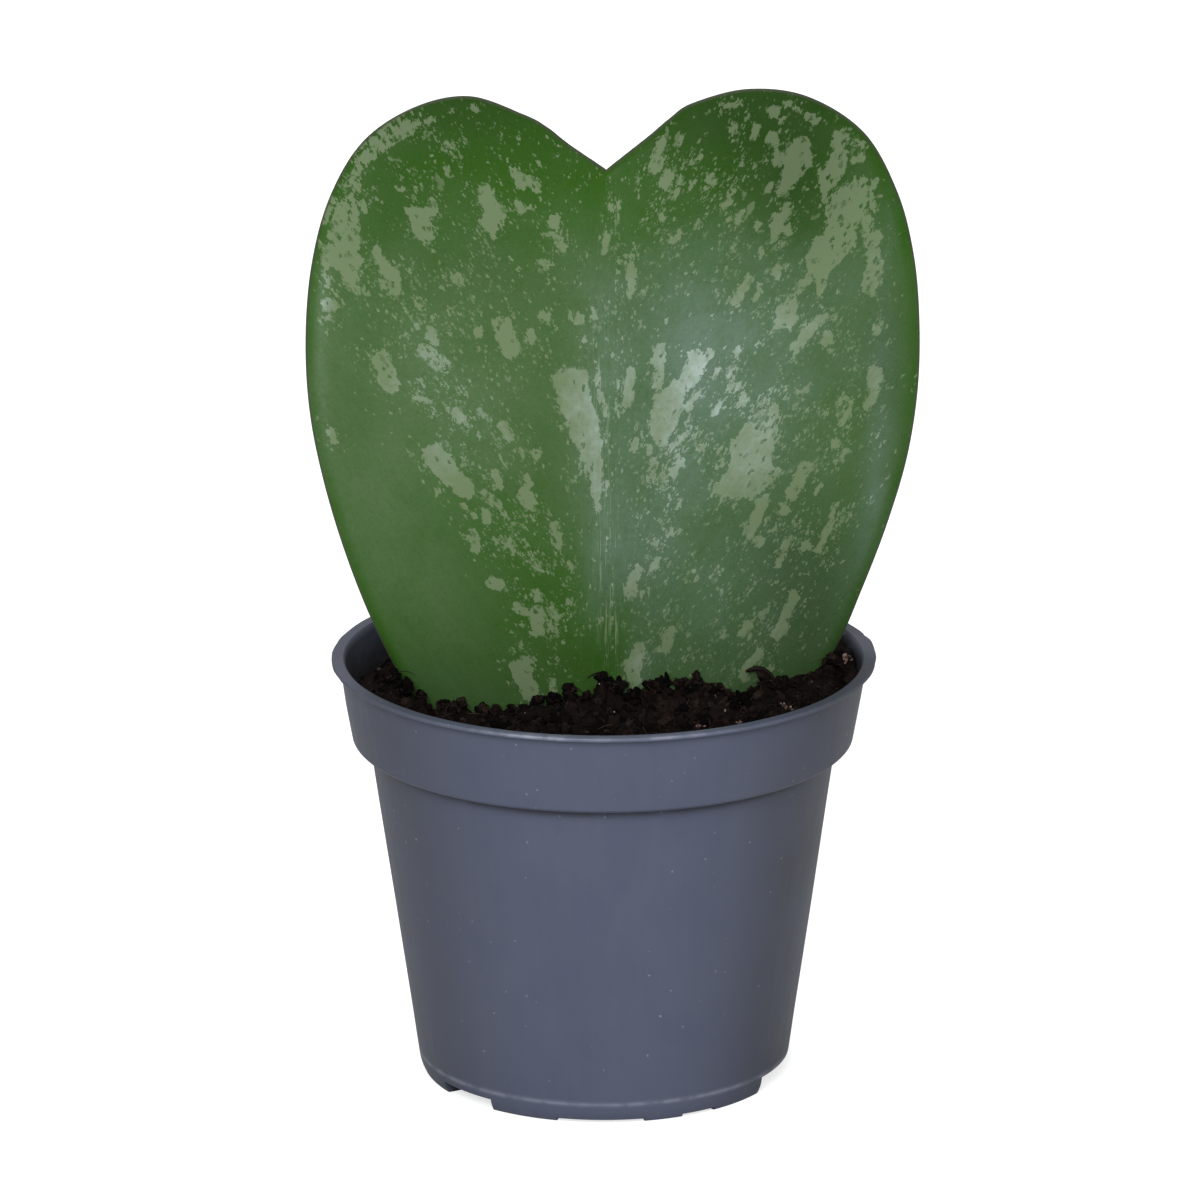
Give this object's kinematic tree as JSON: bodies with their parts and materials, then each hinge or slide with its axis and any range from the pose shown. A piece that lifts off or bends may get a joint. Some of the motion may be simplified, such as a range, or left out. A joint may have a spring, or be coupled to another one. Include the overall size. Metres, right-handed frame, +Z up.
{
  "type": "potted hoya leaf plant",
  "caption": "Thick heart-shaped, silver-splashed hoya leaf rooted upright in peat in a small round plastic nursery pot.",
  "frame": {"origin": "on the pot's axis at the level of the undersides of its feet, close to the centre of the bottom of the bounding box", "axes": "+Z up along the pot's axis, +X to the right of the leaf's broad face, and the broad face looks along -Y"},
  "size_m": [0.1007, 0.09, 0.1674],
  "materials": {
    "pot": "satin moulded plastic, blue-grey",
    "soil": "moist dark peat crumbs",
    "leaf": "waxy succulent green with silver splashes"
  },
  "bodies": {
    "root": {"pot": "pot", "soil": "soil", "leaf": "leaf"}
  },
  "joints": []
}
